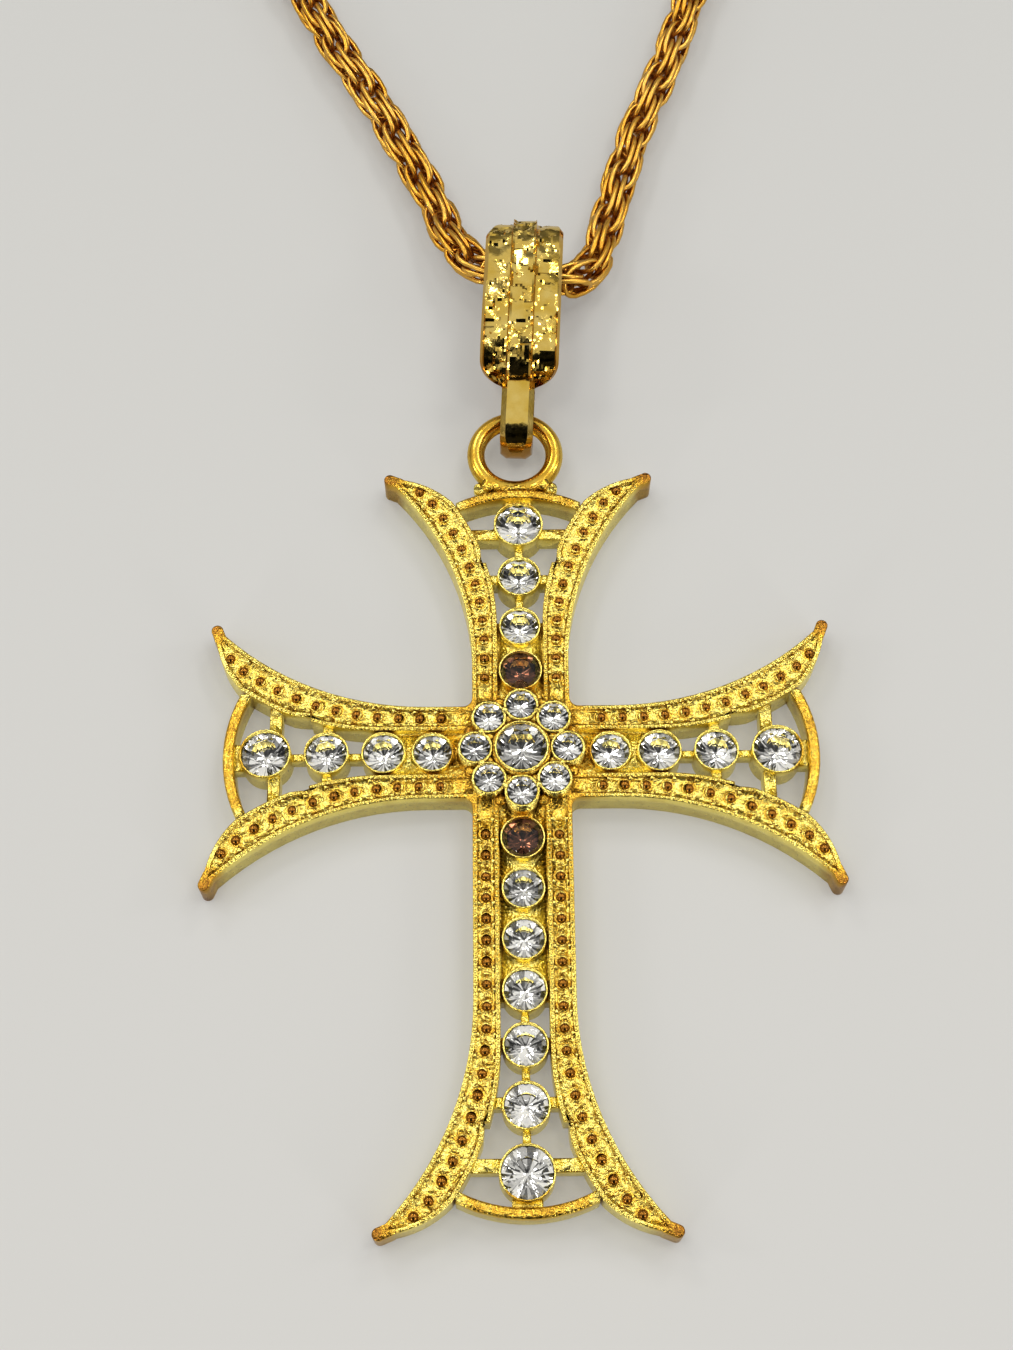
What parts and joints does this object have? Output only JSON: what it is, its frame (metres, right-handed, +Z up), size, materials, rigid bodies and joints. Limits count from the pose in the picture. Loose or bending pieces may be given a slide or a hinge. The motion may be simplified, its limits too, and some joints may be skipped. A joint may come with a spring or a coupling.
{
  "type": "cross necklace",
  "caption": "Gold-tone flared cross with pierced arms set with clear and brown round stones, on a hooked bail and a rope chain, lying flat.",
  "frame": {"origin": "middle of the cross's four arms, on its flat back, which is the surface that the necklace lies on", "axes": "+X to the right arm, +Y from the cross to its bail and chain, +Z up out of the stones' faces"},
  "size_m": [0.1411, 0.3074, 0.0087],
  "materials": {
    "cast_gold": "bright yellow gold plating over relief, darker brown gold in the recesses",
    "hammered_gold": "bright hammered gold plating",
    "chain_gold": "polished, warmer and more orange gold plating",
    "clear_stone": "clear cut glass with a silver foil back",
    "brown_stone": "smoky brown cut glass with a foil back"
  },
  "bodies": {
    "root": {"cross_frame": "cast_gold", "stone_centre": "clear_stone", "stone_halo_1": "clear_stone", "stone_halo_2": "clear_stone", "stone_halo_3": "clear_stone", "stone_halo_4": "clear_stone", "stone_halo_5": "clear_stone", "stone_halo_6": "clear_stone", "stone_halo_7": "clear_stone", "stone_halo_8": "clear_stone", "stone_top_1": "brown_stone", "stone_top_2": "clear_stone", "stone_top_3": "clear_stone", "stone_top_4": "clear_stone", "stone_left_1": "clear_stone", "stone_left_2": "clear_stone", "stone_left_3": "clear_stone", "stone_left_4": "clear_stone", "stone_right_1": "clear_stone", "stone_right_2": "clear_stone", "stone_right_3": "clear_stone", "stone_right_4": "clear_stone", "stone_bottom_1": "brown_stone", "stone_bottom_2": "clear_stone", "stone_bottom_3": "clear_stone", "stone_bottom_4": "clear_stone", "stone_bottom_5": "clear_stone", "stone_bottom_6": "clear_stone", "stone_bottom_7": "clear_stone", "bail": "hammered_gold", "rope_chain": "chain_gold", "clasp": "chain_gold"}
  },
  "joints": []
}
